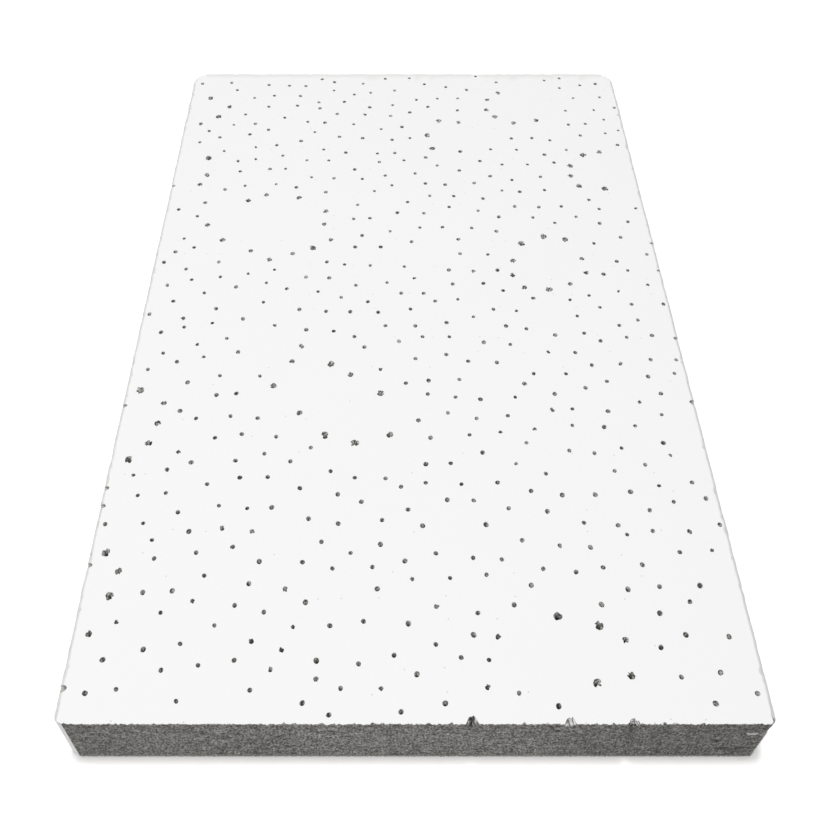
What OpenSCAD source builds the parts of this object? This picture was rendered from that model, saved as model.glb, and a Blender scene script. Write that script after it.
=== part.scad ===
// Mineral-fibre ceiling tile, in the size of a hand sample: one felted board whose painted face is
// perforated by needles. It lies on its back. +Z leaves the painted face, -Y leaves the fresh-cut
// front edge, and the origin is the centre of the back.

/* [Board] */
// Width along the cut front edge
tile_w = 130; // [100:1:180]
// Length from the front edge to the far edge
tile_l = 210; // [160:1:280]
// Thickness from the back to the painted face
tile_t = 15; // [12:0.5:25]
// Corner radius at the left end of the front edge
left_corner_r = 2.2; // [1:0.1:8]
// Corner radius at the right end of the front edge
right_corner_r = 1.5; // [1:0.1:8]
// Corner radius at both ends of the far edge
far_corner_r = 5; // [1.5:0.1:8]
// Width of the eased edge round the painted face, on all sides but the cut front
arris = 0.9; // [0.2:0.1:1.2]

/* [Fine pin holes] */
// Diameter at the face
pin_d = 1; // [0.6:0.05:1.4]
// Diameter at the tip of the needle
pin_tip_d = 0.4; // [0.2:0.05:0.5]
// Depth below the face
pin_depth = 9; // [5:0.5:10]
// Mean spacing of the needles
pin_pitch = 6.9; // [6:0.1:12]
// Furthest that a needle stands from its place in the row
pin_scatter = 1.7; // [0:0.1:2]
// Share of needles that are missing
pin_missing = 0.04; // [0:0.01:0.5]
// Number that draws another scatter
pin_draw = 7; // [1:1:99]

/* [Clear patches] */
// Diameter at the face of the coarse holes that ring a patch
rim_d = 1.5; // [1:0.05:2]
// Depth of the coarse holes below the face
rim_depth = 10; // [5:0.5:11]
// Mean spacing of the coarse holes round a patch
rim_pitch = 6.5; // [5:0.1:10]

/* [Edge chips] */
// Radius of the bites where needles broke out of the front edge
chip_r = 1.1; // [0.6:0.1:2]
// How far the bites reach into the painted face
chip_reach = 0.9; // [0.5:0.1:1.5]

/* [Hidden] */
$fn = 32;

// Least distance between the mouths of two holes, and least wall between a hole and an eased edge
hole_gap = 2.6;
edge_wall = 0.25;
// A hole this near the cut line, as a share of its radius, stays as an open half hole
half_hole_share = 0.35;
// Share by which diameters vary, and how far the cutters pass the faces they cut
fine_spread = 0.15;
rim_spread = 0.2;
over = 0.1;
// Coarse needles stand out of even spacing by a share of it, and off the rim by a share of its size
rim_scatter = 0.4;
rim_swell = 0.14;

// The needle plate: rows in a triangular pattern, which repeats after so many columns and rows
plate_cols = 21;
plate_rows = 40;
row_pitch = pin_pitch * sqrt(3) / 2;
plate_w = plate_cols * pin_pitch;
plate_l = plate_rows * row_pitch;
// The rows wander sideways and lengthways in slow waves, so many to a plate
wander = 2.4;
waves_across = 3;
waves_along = 4;

// Patches of the plate with no fine needles: centre, half lengths and turn of an oval,
// and the angles between which coarse needles stand along its rim
patches = [
    [-35, 31, 16, 12, -18, -170, 150],
    [-17, -29, 18, 9, -48, 0, 360],
    [36, 16, 10, 10, 0, 0, 360],
    [31, -91, 9, 7, -20, -80, 150],
    [54, 55, 9, 9, 0, 60, 330],
    [-70, -77, 12, 12, 0, -60, 60],
    [-70, -36, 15, 15, 0, -60, 60],
    [33, 87, 10, 8, 0, 90, 330],
    [14, 72, 8, 7, 40, 0, 270],
    [-63, 55, 9, 8, 0, -120, 60],
    [-62, 84, 9, 7, 0, -90, 90]
];
// Needles that broke out of the front edge: how far from its middle, and how far inside it.
// A needle that stood outside the cut left its bite alone
chips = [[10.3, 0.6], [27.8, -1], [39.2, 0]];

// Draws for each needle of the plate: how far, which way, how wide, and whether it is missing
draw_count = plate_cols * plate_rows;
draw_far = rands(0, 1, draw_count, pin_draw);
draw_way = rands(0, 360, draw_count, pin_draw + 1);
draw_wide = rands(-1, 1, draw_count, pin_draw + 2);
draw_missing = rands(0, 1, draw_count, pin_draw + 3);

function wrap(n, count) = ((n % count) + count) % count;

function wrap_near_zero(x, length) = x - length * round(x / length);

function fine_draw(col, row) = wrap(col, plate_cols) + plate_cols * wrap(row, plate_rows);

// A hole is its place x, y, its diameter at the face and at the tip, and its depth
function fine_hole(col, row) =
    let (
        draw = fine_draw(col, row),
        x = (col + wrap(row, 2) / 2) * pin_pitch,
        y = row * row_pitch,
        far = pin_scatter * sqrt(draw_far[draw])
    )
    [
        x + wander * sin(360 * waves_along * y / plate_l) + far * cos(draw_way[draw]),
        y + wander * sin(360 * waves_across * x / plate_w) + far * sin(draw_way[draw]),
        pin_d * (1 + fine_spread * draw_wide[draw]),
        pin_tip_d,
        pin_depth
    ];

// Point at an angle on the rim of a patch, with the rim swollen by a share
function rim_point(patch, angle, swell) =
    let (
        u = (1 + swell) * patch[2] * cos(angle),
        v = (1 + swell) * patch[3] * sin(angle)
    )
    [
        patch[0] + u * cos(patch[4]) - v * sin(patch[4]),
        patch[1] + u * sin(patch[4]) + v * cos(patch[4])
    ];

function rim_angle(patch) = patch[6] - patch[5];

function rim_count(patch) = round(PI * (patch[2] + patch[3]) * rim_angle(patch) / 360 / rim_pitch);

function rim_hole(number, k) =
    let (
        patch = patches[number],
        draw = number * plate_cols + k,
        step = rim_angle(patch) / rim_count(patch),
        angle = patch[5] + step * (k + 0.5 + rim_scatter * (draw_far[draw] - 0.5)),
        p = rim_point(patch, angle, rim_swell * cos(draw_way[draw]))
    )
    [p[0], p[1], rim_d * (1 + rim_spread * draw_wide[draw]), pin_tip_d, rim_depth];

// How far a point lies outside a patch, as a share of the patch's half lengths; negative inside
function outside_patch(p, patch) =
    let (
        dx = wrap_near_zero(p[0] - patch[0], plate_w),
        dy = wrap_near_zero(p[1] - patch[1], plate_l),
        u = dx * cos(patch[4]) + dy * sin(patch[4]),
        v = dy * cos(patch[4]) - dx * sin(patch[4])
    )
    norm([u / patch[2], v / patch[3]]) - 1;

// How far a point lies inside the outline of the board
function corner_r(p) = p[1] > 0 ? far_corner_r : p[0] < 0 ? left_corner_r : right_corner_r;

function inside_by(p) =
    let (
        r = corner_r(p),
        dx = tile_w / 2 - r - abs(p[0]),
        dy = tile_l / 2 - r - abs(p[1])
    )
    dx < 0 && dy < 0 ? r - norm([dx, dy]) : r + min(dx, dy);

function near_corner(p) =
    let (r = corner_r(p) + rim_d)
    abs(p[0]) > tile_w / 2 - r && abs(p[1]) > tile_l / 2 - r;

// A hole is punched where it lies wholly in the face, or where the edge halves it
function in_board(hole) =
    inside_by(hole) > hole[2] / 2 + arris + edge_wall
    || (abs(inside_by(hole)) < half_hole_share * hole[2] / 2 && !near_corner(hole));

function clear_of(hole, others) =
    len([for (other = others) if (norm([hole[0] - other[0], hole[1] - other[1]])
        < hole_gap + (hole[2] + other[2]) / 2) 1]) == 0;

function clear_of_patches(hole) =
    len([for (patch = patches) if (outside_patch(hole, patch) < hole_gap / patch[3]) 1]) == 0;

function clear_of_earlier(holes, k) = clear_of(holes[k], [for (i = [0:1:k - 1]) holes[i]]);

// Repeats of the plate whose patches can reach the board
repeats_w = ceil((tile_w / plate_w + 1) / 2);
repeats_l = ceil((tile_l / plate_l + 1) / 2);
// Columns and rows of fine needles on each side of the middle
cols = ceil((tile_w / 2 + wander + pin_scatter) / pin_pitch);
rows = ceil((tile_l / 2 + wander + pin_scatter) / row_pitch);

chip_holes = [for (c = chips) [c[0], c[1] - tile_l / 2, rim_d, pin_tip_d, rim_depth]];

rim_tries = [
    for (u = [-repeats_w:repeats_w], v = [-repeats_l:repeats_l], number = [0:len(patches) - 1])
        for (k = [0:rim_count(patches[number]) - 1])
            let (hole = rim_hole(number, k) + [u * plate_w, v * plate_l, 0, 0, 0])
            if (in_board(hole) && clear_of(hole, chip_holes)) hole
];
rim_holes = [for (k = [0:1:len(rim_tries) - 1]) if (clear_of_earlier(rim_tries, k)) rim_tries[k]];

fine_tries = [
    for (row = [-rows:rows], col = [-cols:cols])
        let (hole = fine_hole(col, row))
        if (draw_missing[fine_draw(col, row)] > pin_missing && in_board(hole)
            && clear_of_patches(hole) && clear_of(hole, chip_holes)) hole
];
fine_holes = [for (hole = fine_tries) if (clear_of(hole, rim_holes)) hole];

// Plan of the board: an octagon through the ends of the corner arcs, and the four corner discs
module outline() {
    x = tile_w / 2;
    y = tile_l / 2;
    l = left_corner_r;
    r = right_corner_r;
    b = far_corner_r;
    polygon([
        [-x + l, -y], [x - r, -y], [x, -y + r], [x, y - b],
        [x - b, y], [-x + b, y], [-x, y - b], [-x, -y + l]
    ]);
    translate([-x + l, -y + l]) circle(l);
    translate([x - r, -y + r]) circle(r);
    for (side = [-1, 1]) translate([side * (x - b), y - b]) circle(b);
}

// Section that eases an edge: the slanted face runs from the board's face to its side
module arris_section() {
    polygon([[-arris - over, over], [over, -arris - over], [over, over]]);
}

module straight_arris(length) {
    rotate([90, 0, 90]) linear_extrude(length) arris_section();
}

module corner_arris(r) {
    rotate_extrude(angle = 90) translate([r, 0]) arris_section();
}

module eased_edges() {
    b = far_corner_r;
    translate([0, 0, tile_t]) {
        translate([-tile_w / 2 + b, tile_l / 2]) straight_arris(tile_w - 2 * b);
        for (side = [0, 1]) mirror([side, 0, 0]) {
            translate([tile_w / 2, tile_l / 2 - b]) rotate(-90) straight_arris(tile_l - b + over);
            translate([tile_w / 2 - b, tile_l / 2 - b]) corner_arris(b);
        }
    }
}

// A needle's hole: a slim cone that narrows to the tip
module pin_hole(hole) {
    mouth_d = hole[2] + (hole[2] - hole[3]) * over / hole[4];
    translate([hole[0], hole[1], tile_t - hole[4]])
        cylinder(h = hole[4] + over, d1 = hole[3], d2 = mouth_d);
}

// A bite out of the paint and the core below it, where a needle came out of the front edge
module chip(x) {
    translate([x, -tile_l / 2 + chip_reach - chip_r, tile_t]) sphere(chip_r);
}

module ceiling_tile() {
    color("whitesmoke") difference() {
        linear_extrude(tile_t) outline();
        eased_edges();
        for (hole = fine_holes) pin_hole(hole);
        for (hole = rim_holes) pin_hole(hole);
        for (hole = chip_holes) pin_hole(hole);
        for (c = chips) chip(c[0]);
    }
}

ceiling_tile();
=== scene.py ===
import math

import bpy
import numpy as np
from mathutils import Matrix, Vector, noise
from mathutils.bvhtree import BVHTree
from mathutils.geometry import delaunay_2d_cdt


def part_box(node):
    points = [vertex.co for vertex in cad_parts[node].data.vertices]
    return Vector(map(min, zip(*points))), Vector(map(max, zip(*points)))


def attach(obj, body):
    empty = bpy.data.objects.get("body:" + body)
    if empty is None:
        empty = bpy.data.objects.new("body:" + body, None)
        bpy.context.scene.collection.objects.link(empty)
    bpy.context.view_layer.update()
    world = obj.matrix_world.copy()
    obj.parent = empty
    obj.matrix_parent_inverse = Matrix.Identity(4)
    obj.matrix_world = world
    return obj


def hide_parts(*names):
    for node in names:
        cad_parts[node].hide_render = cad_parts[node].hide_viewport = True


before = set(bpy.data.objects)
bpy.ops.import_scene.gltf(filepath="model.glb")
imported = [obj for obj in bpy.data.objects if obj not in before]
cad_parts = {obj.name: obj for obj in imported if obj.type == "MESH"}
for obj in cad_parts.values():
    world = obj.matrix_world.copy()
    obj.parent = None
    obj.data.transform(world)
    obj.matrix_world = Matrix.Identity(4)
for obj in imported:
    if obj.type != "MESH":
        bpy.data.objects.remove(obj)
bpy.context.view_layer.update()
perMm = 0.001  # the mesh code works in millimetres, Blender in metres


# Small helpers for numbers, colour and nodes

def clamp(value):
    return min(max(value, 0), 1)


def pairsRound(loop):
    return zip(loop, loop[1:] + loop[:1])


def hexColour(code):
    channels = [int(code[i:i + 2], 16) / 255 for i in (1, 3, 5)]
    linear = [c / 12.92 if c <= 0.04045 else ((c + 0.055) / 1.055) ** 2.4 for c in channels]  # sRGB curve
    return (*linear, 1.0)


def perSize(sizeMm):
    return 1 / (sizeMm * perMm)  # texture scale at which one feature has this size


def addNode(tree, kind, settings=None, links=None):
    node = tree.nodes.new("ShaderNode" + kind)
    for name, value in (settings or {}).items():
        if isinstance(name, int) or name in node.inputs:
            node.inputs[name].default_value = value
        else:
            setattr(node, name, value)
    for name, source in (links or {}).items():
        tree.links.new(source, node.inputs[name])
    return node


def newMaterial(name):
    material = bpy.data.materials.new(name)
    material.use_nodes = True
    material.node_tree.nodes.clear()
    return material, material.node_tree


# The board as the frame gives it

cadRead = {
    "flatWithin": 0.002,  # corners this near a height lie in the face there
    "weldsPerMm": 1000,  # split corners are welded on a grid this fine
    "widestHole": 5,  # a loop in the face that is wider is the board's outline
    "above": 1,  # rays into the holes start this far above the face
    "leastTip": 0.1,  # least radius at the tip of a hole
    "outside": 2.0, "reach": 8, "offEdge": 0.001,  # rays at the wall: start, length, least way off its edges
}
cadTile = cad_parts["ceiling_tile"]
low, high = (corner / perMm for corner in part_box("ceiling_tile"))
faceZ = high.z


def cadArrays(node):
    mesh = node.data
    mesh.calc_loop_triangles()
    corners = np.empty(len(mesh.vertices) * 3, np.float32)
    mesh.vertices.foreach_get("co", corners)
    triangles = np.empty(len(mesh.loop_triangles) * 3, np.int32)
    mesh.loop_triangles.foreach_get("vertices", triangles)
    return corners.reshape(-1, 3).astype(float) / perMm, triangles.reshape(-1, 3)


def edgeLoops(corners, triangles, height):
    flat = triangles[(abs(corners[triangles][:, :, 2] - height) < cadRead["flatWithin"]).all(1)]
    welds = np.round(corners[flat.ravel(), :2] * cadRead["weldsPerMm"]).astype(np.int64)
    places, welded = np.unique(welds, axis=0, return_inverse=True)
    a, b, c = welded.reshape(-1, 3).T.tolist()
    directed = set(zip(a + b + c, b + c + a))
    after = {i: j for i, j in directed if (j, i) not in directed}  # edges with a face on one side only
    loops = []
    while after:
        start, here = after.popitem()
        loop = [start]
        while here != start:
            loop.append(here)
            here = after.pop(here)
        loops.append(places[loop] / cadRead["weldsPerMm"])
    return loops


cadCorners, cadTriangles = cadArrays(cadTile)
bvh = BVHTree.FromPolygons(cadCorners.tolist(), cadTriangles.tolist())
planLoop = max(edgeLoops(cadCorners, cadTriangles, low.z), key=len)[::-1]  # turned to run counter-clockwise
faceLoops = edgeLoops(cadCorners, cadTriangles, faceZ)
rims = [loop for loop in faceLoops if np.ptp(loop, axis=0).max() < cadRead["widestHole"]]


def needleHole(rim):
    x, y = (rim.min(0) + rim.max(0)) / 2
    radius = np.hypot(*(rim - (x, y)).T).mean()
    above = Vector((x, y, faceZ + cadRead["above"]))
    depth = bvh.ray_cast(above, Vector((0, 0, -1)))[3] - cadRead["above"]
    halfWay = bvh.ray_cast(Vector((x, y, faceZ - depth / 2)), Vector((1, 0, 0)))[3]
    tip = max(2 * halfWay - radius, cadRead["leastTip"])
    return {"x": x, "y": y, "radius": radius, "depth": depth, "tip": tip}


holes = sorted((needleHole(rim) for rim in rims), key=lambda hole: (hole["y"], hole["x"]))
print("board", tuple(round(v, 2) for v in high - low), "mm, whole holes", len(holes))


# The tile: one closed mesh, with the CAD solid's form and the roughness of the real board

tile = {
    "seed": 31,
    # columns and rows of the wall
    "frontStep": 0.3, "sideStep": 0.7,  # spacing of the columns
    "closeBehind": 4, "closeBeside": 1.2,  # they stand close this far behind the cut and beside half holes
    "lookAhead": 0.05, "searchStep": 0.25, "lastGap": 0.1, "straight": 0.999,  # how the outline is walked
    "halfHoleDepth": 1.5, "halfHoleFrom": 0.05,  # a wall that lies this far in at this depth has a half hole
    "edgeDepths": (0, 0.05, 0.15, 0.3, 0.5, 0.7, 0.9), "wallStep": 0.45,  # rows below the face
    "frontFacing": -0.99, "farFacing": 0.9,  # y of the outward direction at the cut and at the far edge
    # the fresh cut
    "grainSize": 0.5, "frontGrain": 0.12, "upperShare": 0.5,  # its roughness, and the share below the paint
    "nickDeep": 0.6, "nickRare": 0.05, "nickSize": 1.0,  # nicks in the edge of the paint
    "fray": 0.26, "frayBack": 0.1, "fraySize": 0.45,  # and how ragged that edge is
    "hang": 2.2, "hangSize": 0.6, "hangDepth": 0.6,  # here and there paint hangs over the cut
    "dust": 0.45, "dustHigh": 1.2,  # crumbs cling along the bottom
    # needle holes that broke out of the cut
    "biteFrom": 0.15, "biteLow": 1.4, "biteDeep": 1.4, "biteMore": 0.3,  # where they are, and how deep
    "crumb": 0.75, "crumbSize": 0.3, "crumbPainted": 0.65,  # how they crumble, and the share left painted
    "heartFrom": 0.8, "heartBeside": 0.3, "heartShade": -0.8,  # their hearts get painted shade
    # marks on the cut: x, depth, half length, half height, how deep, paint cover, where below 0 is painted
    # shade in a crack
    "scars": (
        (61.3, 4.1, 1.2, 0.35, -0.25, 0.9), (61.1, 11.0, 1.7, 0.5, 1.0, -1.0),
        (57.7, 11.3, 1.5, 0.5, 0.9, -1.0), (55.5, 7.4, 1.1, 0.45, 0.6, -0.8),
        (64.4, 4.4, 1.3, 2.0, 0.5, 0.3),
    ),
    "scarReach": 2.0, "scarEdge": 3,  # how far they go round the corner, and how crisp they are
    # the old edges
    "edgeWander": 0.28, "wanderSize": 3.0,  # they are not quite straight
    "knockDeep": 1.0, "knockRare": 0.3, "knockSize": 1.8, "knockLow": 1,  # and knocked here and there
    "wornRound": 0.7, "wornFrom": 2.5, "wornOver": 3,  # behind the cut, the arris is worn round
    "slantWithin": 0.03,  # a wall this near the arris is part of it, and no half hole
    "arrisGrain": 0.03, "arrisCover": 0.62, "farEdgeShade": 0.72,  # thin paint on it, and a greyer tint along the far edge as painted shade
    "sideGrain": 0.07, "sideCover": 1.02, "sidePatchy": 0.25, "sidePatch": 1.5,  # paint on the walls below
    "bareCorner": 1.6, "bareFade": 1.1,  # the right front corner lost its paint
    "barePatchy": 0.5, "barePatch": 0.8, "arrisBare": 0.42, "sideBare": 0.75, "sideBareFade": 0.05,
    # needles that came out in the eased edges: side, y, radius
    "edgeHoles": (
        (-1, 48.5, 0.4), (-1, -30.8, 0.45), (-1, -53.6, 0.45), (-1, -58.2, 0.5), (-1, -72.4, 0.4),
        (-1, -98.2, 0.6), (1, 24.5, 0.4), (1, 13.9, 0.35), (1, -9.8, 0.45), (1, -29.8, 0.5),
    ),
    "edgeBand": 1, "notchDeep": 1.2, "notchCover": 0.2, "ledgeCover": 0.42,  # the ledge below them is dusty
    # holes in the face
    "fineSides": 12, "coarseSides": 16, "coarseRadius": 0.62,
    "across": 1.02, "along": 1.14,  # they are a little longer than they are wide
    "ragged": 0.05, "oval": 0.06,  # how uneven a clean rim is
    "tornShare": 0.12, "tornRagged": 0.12,  # this share of the fine rims, and all coarse ones, are torn
    "tongues": 3, "tongueReach": (0.2, 0.5),
    # paint stops at the rim, and fibres close in below it: depth, paint cover, share of the solid's radius;
    # the cover below 0 deep down is painted shade
    "holeWall": (
        (0, 1.0, 1.0), (0.12, 0.56, 0.98), (0.35, 0.27, 0.95), (0.85, 0.36, 0.64), (2.4, -0.3, 0.58),
    ),
    "rimDeep": 0.3, "rimRings": 2, "mouthMore": 0.1,  # the rim's depth and rings, and how far it may spread
    "fibreRagged": 0.1, "fibrePatchy": 0.7, "fibreDeep": 3,  # how uneven and patchy the fibres are
    # the flat of the face and the back
    "faceStep": 2.2, "backStep": 4, "rowShare": 0.87, "jitter": 0.2,  # loose points in staggered rows
    "edgeClear": 3, "holeClear": 0.9, "holeNear": 4,  # which keep off the edges and the holes
    "faceWave": 0.03, "waveSize": 14, "waveDeep": 0.4, "waveLimit": 0.1,  # the face is not quite flat
    "backWave": 0.04, "backWaveSize": 3, "backDeep": 0.01,  # and neither is the back
    "sharpAngle": 42,  # edges that turn more are shaded sharp
}
noiseSlice = {"wander": 2, "nick": 3, "knock": 4, "back": 5, "fray": 6, "face": 7, "hang": 9}  # z by use
arrisBottom = tile["edgeDepths"][-2]  # the lowest row of the eased edge
rng = np.random.default_rng(tile["seed"])
points, cover, faces, faceKinds = [], [], [], []
paintKind, coreKind, backKind = 0, 1, 2


def addPoint(x, y, z, painted):
    points.append((x, y, z))
    cover.append(painted)
    return len(points) - 1


def addFace(corners, kind):
    faces.append(corners)
    faceKinds.append(kind)


def grain(x, y, z, size):
    return noise.fractal(Vector((x, y, z)) / size, 1.0, 2.0, 3)  # three sizes, each half the one before


def sliceGrain(use, x, y, size):
    return grain(x, y, noiseSlice[use], size)


def wallPoint(place, outward, depth):
    z = min(max(faceZ - depth, low.z + cadRead["offEdge"]), faceZ - cadRead["offEdge"])
    start = place + cadRead["outside"] * outward
    hit = bvh.ray_cast(Vector((*start, z)), Vector((*-outward, 0)), cadRead["reach"])[3]
    inside = (hit or cadRead["outside"]) - cadRead["outside"]
    return min(inside, tile["biteDeep"])  # how far the solid lies inside the plain outline here


def edgeNotch(place):
    near = [(y, r) for side, y, r in tile["edgeHoles"] if side * place[0] > high.x - tile["edgeBand"]]
    return math.sqrt(max([0] + [r ** 2 - (place[1] - y) ** 2 for y, r in near]))


def isFresh(outward):
    return outward[1] < tile["frontFacing"]


def isHalfHole(place, outward):
    return wallPoint(place, outward, tile["halfHoleDepth"]) > tile["halfHoleFrom"] or edgeNotch(place) > 0


def walkOutline(loop):
    closed = np.vstack([loop, loop[:1]])
    run = np.concatenate([[0], np.cumsum(np.hypot(*np.diff(closed, axis=0).T))])

    def at(s):
        return np.array([np.interp(s % run[-1], run, closed[:, axis]) for axis in (0, 1)])

    def column(s):
        ahead = at(s + tile["lookAhead"]) - at(s - tile["lookAhead"])
        return at(s), np.array([ahead[1], -ahead[0]]) / np.hypot(*ahead)

    halfHoles = [at(s) for s in np.arange(0, run[-1], tile["searchStep"]) if isHalfHole(*column(s))]
    columns, s = [], 0.0
    while s < run[-1] - tile["lastGap"]:
        place, outward = column(s)
        columns.append((place, outward))
        beside = any(np.hypot(*(place - h)) < tile["closeBeside"] for h in halfHoles)
        if beside or place[1] < low.y + tile["closeBehind"]:
            s += tile["frontStep"]
        elif abs(outward).max() < tile["straight"]:
            s += tile["sideStep"] / 2  # round the corners
        else:
            s += tile["sideStep"]
    return columns


def wallDepths():
    depths = list(tile["edgeDepths"])
    rest = faceZ - low.z - depths[-1]
    count = round(rest / tile["wallStep"])
    return depths + [depths[-1] + rest * (k + 1) / count for k in range(count)]


def columnWear(place, outward):
    behind = place[1] - low.y  # how far behind the cut
    wear = {
        "fresh": isFresh(outward), "far": outward[1] >= tile["farFacing"], "behind": behind,
        "ease": wallPoint(place, outward, 0), "notch": edgeNotch(place),
        "worn": tile["wornRound"] * clamp((behind - tile["wornFrom"]) / tile["wornOver"]),
    }
    if wear["fresh"]:
        wear["wander"] = 0
        wear["hang"] = max(sliceGrain("hang", *place, tile["hangSize"]), 0) * tile["hang"]
        nick = sliceGrain("nick", *place, tile["nickSize"])
        wear["nick"] = max(nick - tile["nickRare"], 0) * tile["nickDeep"]
        wear["fray"] = tile["fray"] * (sliceGrain("fray", *place, tile["fraySize"]) + tile["frayBack"])
    else:
        wander = sliceGrain("wander", *place, tile["wanderSize"])
        knock = sliceGrain("knock", *place, tile["knockSize"])
        wear["wander"] = tile["edgeWander"] * (1 + wander) / 2
        wear["knock"] = max(knock - tile["knockRare"], 0) * tile["knockDeep"]
        wear["bare"] = tile["bareCorner"] - behind / tile["bareFade"] if place[0] > 0 else 0
    return wear


def chipSurface(spot, depth, inside, place, outward):
    rough = tile["crumb"] * grain(*spot, tile["crumbSize"])
    rough += min(tile["biteMore"] * inside, tile["biteDeep"] - inside)
    if depth == 0:
        return rough, 1.0
    along = np.array([-outward[1], outward[0]])
    sides = [place + step * along for step in (-tile["heartBeside"], tile["heartBeside"])]
    # the deep heart of a chip gets painted shade
    if min(wallPoint(side, outward, depth) for side in sides) > tile["heartFrom"]:
        return rough, tile["heartShade"]
    return rough, float(rng.random() < tile["crumbPainted"])


def freshSurface(spot, depth, wear):
    rough = tile["frontGrain"] * grain(*spot, tile["grainSize"])
    if depth == 0:
        return wear["nick"] + wear["fray"], 1.0
    if depth <= arrisBottom:
        nick = max(wear["nick"] - depth, 0)
        return tile["upperShare"] * rough + nick, wear["hang"] * (1 - depth / tile["hangDepth"])
    return rough, tile["dust"] * max(1 - (spot[2] - low.z) / tile["dustHigh"], 0)


def oldSurface(spot, depth, wear):
    if depth == 0:
        # the far edge's top gets a greyer tint as painted shade
        return wear["knock"], tile["farEdgeShade"] if wear["far"] else 1.0
    rough = grain(*spot, tile["grainSize"])
    bare = clamp(wear["bare"] + tile["barePatchy"] * grain(*spot, tile["barePatch"]))
    if depth <= arrisBottom:
        knock = wear["knock"] * (1 - depth / tile["knockLow"])
        return tile["arrisGrain"] * rough + knock, tile["arrisCover"] - tile["arrisBare"] * bare
    painted = tile["sideCover"] + tile["sidePatchy"] * grain(*spot, tile["sidePatch"])
    return tile["sideGrain"] * rough, painted - bare * (tile["sideBare"] - tile["sideBareFade"] * depth)


def addScars(x, depth, behind, rough, painted):
    # a paint cover below 0 paints shade into a crack
    for scarX, scarDepth, length, height, deep, paint in tile["scars"]:
        within = 1 - ((x - scarX) / length) ** 2 - ((depth - scarDepth) / height) ** 2
        within -= (behind / tile["scarReach"]) ** 2
        if within > 0:
            share = min(tile["scarEdge"] * within, 1) if depth else 0
            rough += deep * within
            painted += share * (paint - painted)
    return rough, painted


def wallVertex(place, outward, depth, wear):
    inside, ease, notch = wallPoint(place, outward, depth), wear["ease"], wear["notch"]
    slant = max(ease - depth, 0)  # where the solid has its slanted arris
    if abs(inside - slant) < tile["slantWithin"]:
        inside += wear["worn"] * (ease - math.sqrt(ease ** 2 - slant ** 2) - inside)
    spot = (*(place - inside * outward), faceZ - depth)
    if wear["fresh"] and inside > tile["biteFrom"] and depth < tile["biteLow"]:
        rough, painted = chipSurface(spot, depth, inside, place, outward)
    elif wear["fresh"]:
        rough, painted = freshSurface(spot, depth, wear)
    else:
        rough, painted = oldSurface(spot, depth, wear)
    if notch and depth < tile["notchDeep"]:
        rough = ease + notch - inside
        painted = tile["notchCover"] if depth else 1.0
    elif notch and depth < tile["notchDeep"] + tile["wallStep"]:
        painted = tile["ledgeCover"]
    rough, painted = addScars(spot[0], depth, wear["behind"], rough, painted)
    x, y = place - (inside + wear["wander"] + rough) * outward
    return addPoint(x, y, spot[2], painted)


def buildWall(columns):
    depths = wallDepths()
    grid = []
    for place, outward in columns:
        wear = columnWear(place, outward)
        grid.append([wallVertex(place, outward, depth, wear) for depth in depths])
    for i, column in enumerate(grid):
        following = grid[(i + 1) % len(grid)]
        fresh = isFresh(columns[i][1])
        for k in range(len(depths) - 1):
            kind = coreKind if fresh or depths[k + 1] > arrisBottom else paintKind
            addFace((column[k], column[k + 1], following[k + 1], following[k]), kind)
    return [column[0] for column in grid], [column[-1] for column in grid]


def buildHole(hole):
    coarse = hole["radius"] > tile["coarseRadius"]
    sides = tile["coarseSides"] if coarse else tile["fineSides"]
    angles = 2 * math.pi * (np.arange(sides) + rng.random()) / sides
    torn = coarse or rng.random() < tile["tornShare"]
    ragged = tile["tornRagged" if torn else "ragged"] * rng.uniform(-1, 1, sides)
    turn = rng.uniform(0, 6)  # which way the oval lies
    shape = 1 + ragged + tile["oval"] * np.cos(2 * angles + turn)
    if torn:  # tongues of paint point into the hole
        shape[rng.choice(sides, tile["tongues"])] -= rng.uniform(*tile["tongueReach"], tile["tongues"])
    rings = []
    for depth, painted, share in (*tile["holeWall"], (hole["depth"], 0.0, 1.0)):
        radius = hole["radius"] + (hole["tip"] - hole["radius"]) * depth / hole["depth"]
        if depth > tile["rimDeep"]:
            shape = 1 + tile["fibreRagged"] * rng.uniform(-1, 1, sides)
        reach = np.minimum(share * radius * shape, hole["radius"] + tile["mouthMore"])
        xs = hole["x"] + tile["across"] * reach * np.cos(angles)
        ys = hole["y"] + tile["along"] * reach * np.sin(angles)
        fibres = tile["rimDeep"] < depth < tile["fibreDeep"]
        patchy = rng.uniform(-tile["fibrePatchy"], tile["fibrePatchy"], sides) if fibres else [0] * sides
        rings.append([addPoint(x, y, faceZ - depth, painted + p) for x, y, p in zip(xs, ys, patchy)])
    for k in range(len(rings) - 1):
        kind = paintKind if k < tile["rimRings"] else coreKind
        for i in range(sides):
            j = (i + 1) % sides
            addFace((rings[k][i], rings[k][j], rings[k + 1][j], rings[k + 1][i]), kind)
    addFace(tuple(rings[-1]), coreKind)
    return rings[0]


def holesNear(y):
    return [h for h in holes if abs(h["y"] - y) < tile["holeNear"]]


def isClear(spot, hole):
    return np.hypot(*(spot - (hole["x"], hole["y"]))) > hole["radius"] + tile["holeClear"]


def scatter(step, keepOff):
    spots = []
    for row, y in enumerate(np.arange(low.y, high.y, step * tile["rowShare"])):
        for x in np.arange(low.x + (row % 2) * step / 2, high.x, step):
            spot = np.array([x, y]) + rng.uniform(-tile["jitter"], tile["jitter"], 2) * step
            inset = min(spot[0] - low.x, high.x - spot[0], spot[1] - low.y, high.y - spot[1])
            if inset > tile["edgeClear"] and all(isClear(spot, hole) for hole in keepOff(y)):
                spots.append(spot)
    return spots


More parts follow.
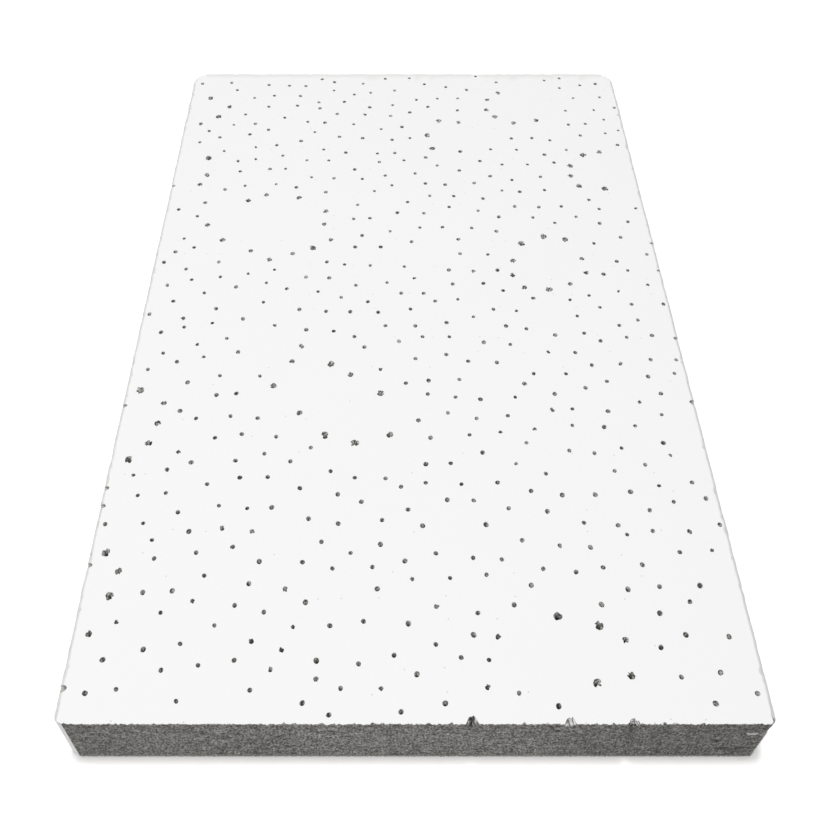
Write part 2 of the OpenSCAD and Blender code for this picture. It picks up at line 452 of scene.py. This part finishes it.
def insideRing(spot, ring):
    crossings = 0
    for (x1, y1), (x2, y2) in pairsRound(ring):
        if (y1 > spot[1]) != (y2 > spot[1]) and spot[0] < x1 + (spot[1] - y1) * (x2 - x1) / (y2 - y1):
            crossings += 1
    return crossings % 2 == 1


def fillLoops(loops, spots, z, kind, upward):
    loose = [addPoint(x, y, z, 1.0) for x, y in spots]
    ringOf = {point: number for number, loop in enumerate(loops[1:]) for point in loop}
    rings = [[points[i][:2] for i in loop] for loop in loops[1:]]
    known = [i for loop in loops for i in loop] + loose
    local = {point: k for k, point in enumerate(known)}
    edges = [(local[a], local[b]) for loop in loops for a, b in pairsRound(loop)]
    flat = [Vector(points[i][:2]) for i in known]
    filled = delaunay_2d_cdt(flat, edges, [], 1, 1e-6)  # with 1, nothing is filled outside the outline
    outPoints, _, triangles, origins, _, _ = filled
    ids = [known[o[0]] if o else addPoint(*p, z, 1.0) for p, o in zip(outPoints, origins)]
    for triangle in triangles:
        corners = tuple(ids[k] for k in triangle)
        owners = {ringOf.get(i) for i in corners}
        if len(owners) == 1 and None not in owners:
            middle = np.mean([points[i][:2] for i in corners], axis=0)
            if insideRing(middle, rings[owners.pop()]):
                continue  # this one would close a hole
        addFace(corners if upward else corners[::-1], kind)


def faceDip(x, y):
    dip = tile["faceWave"] * (sliceGrain("face", x, y, tile["waveSize"]) - 1)
    return min(max(dip, -tile["waveLimit"]), 0)


def backRise(x, y):
    return max(tile["backWave"] * sliceGrain("back", x, y, tile["backWaveSize"]), 0)


columns = walkOutline(planLoop)
topLoop, bottomLoop = buildWall(columns)
print("wall", len(columns), "columns")
lips = [buildHole(hole) for hole in holes]
fillLoops([topLoop] + lips, scatter(tile["faceStep"], holesNear), faceZ, paintKind, True)
fillLoops([bottomLoop], scatter(tile["backStep"], lambda y: []), low.z, backKind, False)

vertices = np.array(points)
onFace = vertices[:, 2] > faceZ - tile["waveDeep"]
vertices[onFace, 2] += [faceDip(x, y) for x, y, z in vertices[onFace]]
onBack = vertices[:, 2] < low.z + tile["backDeep"]
vertices[onBack, 2] += [backRise(x, y) for x, y, z in vertices[onBack]]

tileMesh = bpy.data.meshes.new("ceilingTile")
tileMesh.from_pydata((vertices * perMm).tolist(), [], faces)
tileMesh.polygons.foreach_set("material_index", faceKinds)
tileMesh.polygons.foreach_set("use_smooth", [True] * len(faces))
tileMesh.set_sharp_from_angle(angle=math.radians(tile["sharpAngle"]))
rimEdges = {frozenset(pair) for loop in [topLoop] + lips for pair in pairsRound(loop)}
for edge in tileMesh.edges:
    if frozenset(edge.vertices) in rimEdges:
        edge.use_edge_sharp = True  # the face stays flat right up to its edges
tileMesh.attributes.new("paintCoverAndShade", "FLOAT", "POINT").data.foreach_set("value", cover)
tilePiece = bpy.data.objects.new("ceilingTilePiece", tileMesh)
bpy.context.scene.collection.objects.link(tilePiece)
print("tile", len(points), "points", sum(len(f) - 2 for f in faces), "triangles")


# Materials

# Latex paint, rolled on: a soft matt white with a faint peel, a few grey specks, and grey where it thins out
paintLook = {
    "paint": "#F5F5F5", "thin": "#D2D2CF", "roughness": 0.75, "ior": 1.5,
    "peelMm": 1.4, "peelHeight": 0.004, "mottleMm": 30, "mottle": 0.008,
    "faceThin": (0.4, 1.0),  # cover from thin to full on the face
    "wallThin": (0.8, 1.4), "dabMm": 0.6, "dab": 0.8,  # and on the walls, where it was dabbed on unevenly
    "speck": "#C4C4C0", "speckMm": 5, "speckSize": 0.2,  # spacing and radius of the specks
    "speckCore": 0.5, "speckLevel": 0.7, "speckShare": 0.25,  # how soft, how strong and how many they are
}
# Mineral fibre, cut: a dull, speckled grey in flat layers, with dark pits that are partly painted shade, pale
# flecks and dust.
# Single fibres are too fine to show, so the grain is drawn as coarse as their tufts
coreLook = {
    "tones": ((0.385, "#434240"), (0.5, "#7D7C79"), (0.59, "#A4A29E"), (0.69, "#CFCDC8")),  # darkest for the pits, partly painted shade, up to pale flecks
    "roughness": 0.95, "ior": 1.5, "grainHeight": 0.06,
    "granuleMm": 0.37, "granule": 0.64, "granuleStretch": (1, 1, 0.6),  # shares of the patterns add up to 1
    "layerMm": 0.5, "layer": 0.18, "layerStretch": (0.35, 0.35, 1),
    "clumpMm": 1.1, "clump": 0.08, "toneMm": 25, "tone": 0.1,
    "fissureMm": 0.45, "fissureStretch": (0.28, 0.28, 1),  # flat voids between the layers, drawn as painted shade
    "fissureFrom": 0.62, "fissureFull": 0.7, "fissureShade": 0.55,  # where they are, and how dark their painted shade is
    "ends": ((20, 65, 0.68), (-34, -65, 0.8)),  # the cut darkens to both ends, partly painted shade of light falling off and partly its own tone: from x, to x, share of colour kept
    "crackShade": 0.35,  # painted shade: share of light left in the deepest marks
    "dust": "#B4B2AC",
}
# Where the paint ends, the fibre below is dusty and then bare
coverLook = {"raggedMm": 0.35, "ragged": 0.5, "dustFrom": 0.34, "paintFrom": 0.66, "paintFull": 0.78}
# Mineral fibre, felted: a dry, plain, warm grey with small tufts and soft patches
backLook = {
    "felt": "#B9B6AD", "shade": "#9E9B92", "roughness": 0.95, "ior": 1.5,
    "tuftMm": 1.2, "tuft": 0.5, "tuftHeight": 0.1, "patchMm": 18, "patch": 0.5,
}
mixColours = {"data_type": "RGBA"}  # socket 0 takes the factor, 6 and 7 the colours, and output 2 has the mix
multiplyColours = {"data_type": "RGBA", "blend_type": "MULTIPLY", 0: 1.0}


def objectPlace(tree, stretch=(1, 1, 1)):
    coordinate = addNode(tree, "TexCoord")
    return addNode(tree, "Mapping", {"Scale": stretch}, {"Vector": coordinate.outputs["Object"]}).outputs[0]


def coreColour(tree):
    here = objectPlace(tree)
    tall = objectPlace(tree, coreLook["granuleStretch"])
    layered = objectPlace(tree, coreLook["layerStretch"])
    flat = objectPlace(tree, coreLook["fissureStretch"])
    layer = addNode(tree, "TexNoise", {"Scale": perSize(coreLook["layerMm"]), "Detail": 2},
                    {"Vector": layered})
    granule = addNode(tree, "TexNoise", {"Scale": perSize(coreLook["granuleMm"]), "Detail": 2},
                      {"Vector": tall})
    clump = addNode(tree, "TexVoronoi", {"Scale": perSize(coreLook["clumpMm"])}, {"Vector": here})
    tone = addNode(tree, "TexNoise", {"Scale": perSize(coreLook["toneMm"]), "Detail": 1}, {"Vector": here})
    value = addNode(tree, "Math", {"operation": "MULTIPLY", 1: coreLook["layer"]}, {0: layer.outputs[0]})
    for share, pattern in (
        (coreLook["granule"], granule.outputs[0]),
        (coreLook["clump"], clump.outputs["Color"]),
        (coreLook["tone"], tone.outputs[0]),
    ):
        value = addNode(tree, "Math", {"operation": "MULTIPLY_ADD", 1: share},
                        {0: pattern, 2: value.outputs[0]})
    ramp = addNode(tree, "ValToRGB", links={"Fac": value.outputs[0]})
    bar, tones = ramp.color_ramp.elements, coreLook["tones"]
    bar[0].position, bar[1].position = tones[0][0], tones[-1][0]
    for position, _ in tones[1:-1]:
        bar.new(position)
    for element, (_, code) in zip(bar, tones):
        element.color = hexColour(code)
    # painted shade: the flat voids between the layers darken the colour
    gap = addNode(tree, "TexNoise", {"Scale": perSize(coreLook["fissureMm"]), "Detail": 1}, {"Vector": flat})
    fissureShade = addNode(tree, "MapRange", {
        "From Min": coreLook["fissureFrom"], "From Max": coreLook["fissureFull"],
        "To Min": 1.0, "To Max": coreLook["fissureShade"],
    }, {"Value": gap.outputs[0]})
    colour = addNode(tree, "Mix", multiplyColours, {6: ramp.outputs[0], 7: fissureShade.outputs[0]})
    across = addNode(tree, "SeparateXYZ", links={"Vector": here})
    # painted shade, in part: the colour darkens towards both ends of the cut
    for start, stop, level in coreLook["ends"]:
        fade = addNode(tree, "MapRange", {
            "From Min": start * perMm, "From Max": stop * perMm, "To Min": 1.0, "To Max": level,
        }, {"Value": across.outputs[0]})
        colour = addNode(tree, "Mix", multiplyColours, {6: colour.outputs[2], 7: fade.outputs[0]})
    return colour.outputs[2]


def paintColour(tree, coverAndShade, isFace):
    here = objectPlace(tree)
    thin, full = paintLook["faceThin" if isFace else "wallThin"]
    amount = coverAndShade
    if not isFace:
        dab = addNode(tree, "TexNoise", {"Scale": perSize(paintLook["dabMm"]), "Detail": 3}, {"Vector": here})
        amount = addNode(tree, "Math", {"operation": "MULTIPLY_ADD", 1: paintLook["dab"]},
                         {0: dab.outputs[0], 2: coverAndShade}).outputs[0]
    thick = addNode(tree, "MapRange", {"From Min": thin, "From Max": full}, {"Value": amount})
    tints = {6: hexColour(paintLook["thin"]), 7: hexColour(paintLook["paint"])}
    tint = addNode(tree, "Mix", {**mixColours, **tints}, {0: thick.outputs[0]})
    mottle = addNode(tree, "TexNoise", {"Scale": perSize(paintLook["mottleMm"]), "Detail": 4},
                     {"Vector": here})
    shade = addNode(tree, "MapRange", {"To Min": 1 - 2 * paintLook["mottle"], "To Max": 1.0},
                    {"Value": mottle.outputs[0]})
    clean = addNode(tree, "Mix", multiplyColours, {6: tint.outputs[2], 7: shade.outputs[0]})
    return addSpecks(tree, here, clean.outputs[2]) if isFace else clean.outputs[2]


def addSpecks(tree, here, colour):
    size = paintLook["speckSize"] / paintLook["speckMm"]
    dots = addNode(tree, "TexVoronoi", {"voronoi_dimensions": "2D", "Scale": perSize(paintLook["speckMm"])},
                   {"Vector": here})
    dot = addNode(tree, "MapRange", {
        "From Min": size, "From Max": paintLook["speckCore"] * size, "To Max": paintLook["speckLevel"],
    }, {"Value": dots.outputs["Distance"]})
    some = addNode(tree, "Math", {"operation": "LESS_THAN", 1: paintLook["speckShare"]},
                   {0: dots.outputs["Color"]})
    speck = addNode(tree, "Math", {"operation": "MULTIPLY"}, {0: dot.outputs[0], 1: some.outputs[0]})
    mixed = addNode(tree, "Mix", {**mixColours, 7: hexColour(paintLook["speck"])},
                    {0: speck.outputs[0], 6: colour})
    return mixed.outputs[2]


def paintedFibre(name, look, bumpHeight, bumpMm, isFace):
    material, tree = newMaterial(name)
    here = objectPlace(tree)
    coverAndShade = addNode(tree, "Attribute", {"attribute_name": "paintCoverAndShade"}).outputs["Fac"]
    ragged = addNode(tree, "TexNoise", {"Scale": perSize(coverLook["raggedMm"]), "Detail": 3},
                     {"Vector": here})
    worn = addNode(tree, "Math", {"operation": "MULTIPLY_ADD", 1: coverLook["ragged"]},
                   {0: ragged.outputs[0], 2: coverAndShade})
    dusty = addNode(tree, "MapRange", {"From Min": coverLook["dustFrom"], "From Max": coverLook["paintFrom"]},
                    {"Value": worn.outputs[0]})
    mask = addNode(tree, "MapRange", {"From Min": coverLook["paintFrom"], "From Max": coverLook["paintFull"]},
                   {"Value": worn.outputs[0]})
    crackShade = addNode(tree, "MapRange", {
        "From Min": -1.0, "From Max": 0.0, "To Min": coreLook["crackShade"], "To Max": 1.0,
    }, {"Value": coverAndShade})  # cover below 0 is painted shade, darker than bare, in cracks, chip hearts and deep in holes
    # the bare fibre colour here also carries the painted shade of cracks, chip hearts and hole depths
    bare = addNode(tree, "Mix", multiplyColours, {6: coreColour(tree), 7: crackShade.outputs[0]})
    dusted = addNode(tree, "Mix", {**mixColours, 7: hexColour(coreLook["dust"])},
                     {0: dusty.outputs[0], 6: bare.outputs[2]})
    paint = paintColour(tree, coverAndShade, isFace)
    colour = addNode(tree, "Mix", mixColours, {0: mask.outputs[0], 6: dusted.outputs[2], 7: paint})
    relief = addNode(tree, "TexNoise", {"Scale": perSize(bumpMm), "Detail": 2}, {"Vector": here})
    bump = addNode(tree, "Bump", {"Strength": 1.0, "Distance": bumpHeight * perMm},
                   {"Height": relief.outputs[0]})
    shader = addNode(tree, "BsdfPrincipled", {"Roughness": look["roughness"], "IOR": look["ior"]},
                     {"Base Color": colour.outputs[2], "Normal": bump.outputs[0]})
    addNode(tree, "OutputMaterial", links={"Surface": shader.outputs[0]})
    return material


def feltedBack():
    material, tree = newMaterial("mineralFibreFelted")
    here = objectPlace(tree)
    tuft = addNode(tree, "TexNoise", {"Scale": perSize(backLook["tuftMm"]), "Detail": 4}, {"Vector": here})
    patch = addNode(tree, "TexNoise", {"Scale": perSize(backLook["patchMm"]), "Detail": 2}, {"Vector": here})
    tufts = addNode(tree, "Math", {"operation": "MULTIPLY", 1: backLook["tuft"]}, {0: tuft.outputs[0]})
    blend = addNode(tree, "Math", {"operation": "MULTIPLY_ADD", 1: backLook["patch"]},
                    {0: patch.outputs[0], 2: tufts.outputs[0]})
    tints = {6: hexColour(backLook["shade"]), 7: hexColour(backLook["felt"])}
    colour = addNode(tree, "Mix", {**mixColours, **tints}, {0: blend.outputs[0]})
    bump = addNode(tree, "Bump", {"Strength": 1.0, "Distance": backLook["tuftHeight"] * perMm},
                   {"Height": tuft.outputs[0]})
    shader = addNode(tree, "BsdfPrincipled", {"Roughness": backLook["roughness"], "IOR": backLook["ior"]},
                     {"Base Color": colour.outputs[2], "Normal": bump.outputs[0]})
    addNode(tree, "OutputMaterial", links={"Surface": shader.outputs[0]})
    return material


for material in (  # in the order of paintKind, coreKind and backKind
    paintedFibre("latexPaintRolled", paintLook, paintLook["peelHeight"], paintLook["peelMm"], True),
    paintedFibre("mineralFibreCut", coreLook, coreLook["grainHeight"], coreLook["granuleMm"], False),
    feltedBack(),
):
    tileMesh.materials.append(material)
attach(tilePiece, "root")
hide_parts("ceiling_tile")
print("materials", [m.name for m in tileMesh.materials])


# Floor, light and camera

stage = {
    "floorSize": 1.6, "floorDropMm": 0.05,
    "floorColour": "#F4F3F2", "floorGlow": 0.25, "fadeFrom": 0.3, "fadeTo": 0.7,  # it is white by its edge
    "worldColour": "#FFFFFF", "worldLight": 0.28,
    "lamps": (  # name, place, size, watts; both aim at the middle of the back
        ("topLamp", (-0.05, 0.0, 1.5), 0.18, 12.8),
        ("keyLamp", (-0.6, -0.5, 1.0), 0.5, 2.8),
    ),
}


def seenDirectly(tree):
    path = addNode(tree, "LightPath")
    either = addNode(tree, "Math", {"operation": "MAXIMUM"},
                     {0: path.outputs["Is Camera Ray"], 1: path.outputs["Is Glossy Ray"]})
    return addNode(tree, "Math", {"operation": "MAXIMUM"},
                   {0: either.outputs[0], 1: path.outputs["Is Transmission Ray"]}).outputs[0]


# Paper, matt-coated: a clean white ground that still takes a soft shadow beside the board
def studioPaper():
    material, tree = newMaterial("studioPaper")
    diffuse = addNode(tree, "BsdfDiffuse", {"Color": hexColour(stage["floorColour"])})
    away = addNode(tree, "VectorMath", {"operation": "LENGTH"}, {0: objectPlace(tree)})
    glow = addNode(tree, "MapRange", {
        "From Min": stage["fadeFrom"], "From Max": stage["fadeTo"],
        "To Min": stage["floorGlow"], "To Max": 1.0,
    }, {"Value": away.outputs["Value"]})
    share = addNode(tree, "Math", {"operation": "MULTIPLY"}, {0: seenDirectly(tree), 1: glow.outputs[0]})
    white = addNode(tree, "Emission", links={"Strength": share.outputs[0]})
    both = addNode(tree, "AddShader", links={0: diffuse.outputs[0], 1: white.outputs[0]})
    addNode(tree, "OutputMaterial", links={"Surface": both.outputs[0]})
    return material


def makeFloor():
    half = stage["floorSize"] / 2
    corners = [(-half, -half, 0), (half, -half, 0), (half, half, 0), (-half, half, 0)]
    mesh = bpy.data.meshes.new("floor")
    mesh.from_pydata(corners, [], [(0, 1, 2, 3)])
    mesh.materials.append(studioPaper())
    floor = bpy.data.objects.new("floor", mesh)
    floor.location.z = (low.z - stage["floorDropMm"]) * perMm
    bpy.context.scene.collection.objects.link(floor)


def makeWorld():
    world = bpy.data.worlds.new("studioWorld")
    bpy.context.scene.world = world
    world.use_nodes = True
    tree = world.node_tree
    tree.nodes.clear()
    strength = addNode(tree, "MapRange", {"To Min": stage["worldLight"], "To Max": 1.0},
                       {"Value": seenDirectly(tree)})
    background = addNode(tree, "Background", {"Color": hexColour(stage["worldColour"])},
                         {"Strength": strength.outputs[0]})
    addNode(tree, "OutputWorld", links={"Surface": background.outputs[0]})


def makeLamp(name, place, size, watts):
    light = bpy.data.lights.new(name, "AREA")
    light.size = size
    light.energy = watts
    lamp = bpy.data.objects.new(name, light)
    lamp.location = place
    lamp.rotation_euler = (-Vector(place)).to_track_quat("-Z", "Y").to_euler()
    bpy.context.scene.collection.objects.link(lamp)


view = {
    "lensPx": 1022.0, "imagePx": 832, "sensorMm": 36,
    "placeMm": (-4.89, -179.19, 191.58), "pitch": 49.07,
    "shiftPx": (28.7, -26.7),  # the photograph's frame lies a little right of and below the lens's axis
    "clipStart": 0.01,
}


def makeCamera():
    data = bpy.data.cameras.new("camera")
    data.sensor_width = view["sensorMm"]
    data.lens = view["lensPx"] / view["imagePx"] * view["sensorMm"]
    data.shift_x, data.shift_y = (shift / view["imagePx"] for shift in view["shiftPx"])
    data.clip_start = view["clipStart"]
    camera = bpy.data.objects.new("camera", data)
    camera.location = Vector(view["placeMm"]) * perMm
    camera.rotation_euler.x = math.radians(90 - view["pitch"])
    bpy.context.scene.collection.objects.link(camera)
    bpy.context.scene.camera = camera


makeFloor()
makeWorld()
for lampRow in stage["lamps"]:
    makeLamp(*lampRow)
makeCamera()
bpy.context.scene.view_settings.view_transform = "Standard"
print("stage ready")
